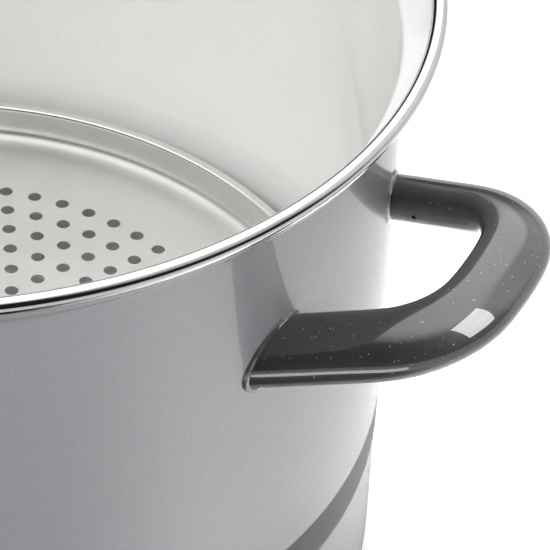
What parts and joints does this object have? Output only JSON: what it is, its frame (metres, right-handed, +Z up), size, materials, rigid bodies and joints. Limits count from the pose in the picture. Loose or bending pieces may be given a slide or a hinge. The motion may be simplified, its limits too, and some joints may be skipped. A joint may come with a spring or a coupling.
{
  "type": "water bath canner",
  "caption": "Straight-sided enamelled stockpot with a flared steel-banded rim, sloping oval-tube loop handles, a perforated standing rack and a lid.",
  "frame": {"origin": "middle of the pot's flat bottom, on the counter", "axes": "+Z up along the pot's axis; the side handles lie along +X and -X; the lid lies on the counter on the -Y side"},
  "size_m": [0.4734, 0.7696, 0.265],
  "materials": {
    "grey_enamel": "glossy metallic enamel with fine sparkle",
    "dark_enamel": "high-gloss enamel with sparse sparkle",
    "white_enamel": "glossy",
    "polished_steel": "polished",
    "rack_steel": "satin"
  },
  "bodies": {
    "pot": {"pot_shell": "grey_enamel", "pot_lining": "white_enamel", "rim_band": "polished_steel", "handle_right": "dark_enamel", "handle_left": "dark_enamel", "weld_right_rear": "dark_enamel", "weld_right_front": "dark_enamel", "weld_left_rear": "dark_enamel", "weld_left_front": "dark_enamel"},
    "rack": {"rack_tray": "rack_steel", "rack_leg_1": "rack_steel", "rack_leg_2": "rack_steel", "rack_leg_3": "rack_steel", "rack_leg_4": "rack_steel"},
    "lid": {"lid_shell": "grey_enamel", "lid_lining": "white_enamel", "lid_rim_band": "polished_steel", "lid_handle": "dark_enamel", "lid_weld_left": "dark_enamel", "lid_weld_right": "dark_enamel"}
  },
  "joints": [
    {"name": "rack_lift", "type": "slide", "parent": "pot", "child": "rack", "axis": [0, 0, 1], "range_m": [0, 0.3]},
    {"name": "lid_lift", "type": "slide", "parent": "pot", "child": "lid", "axis": [0, 0, 1], "range_m": [0, 0.3]}
  ]
}
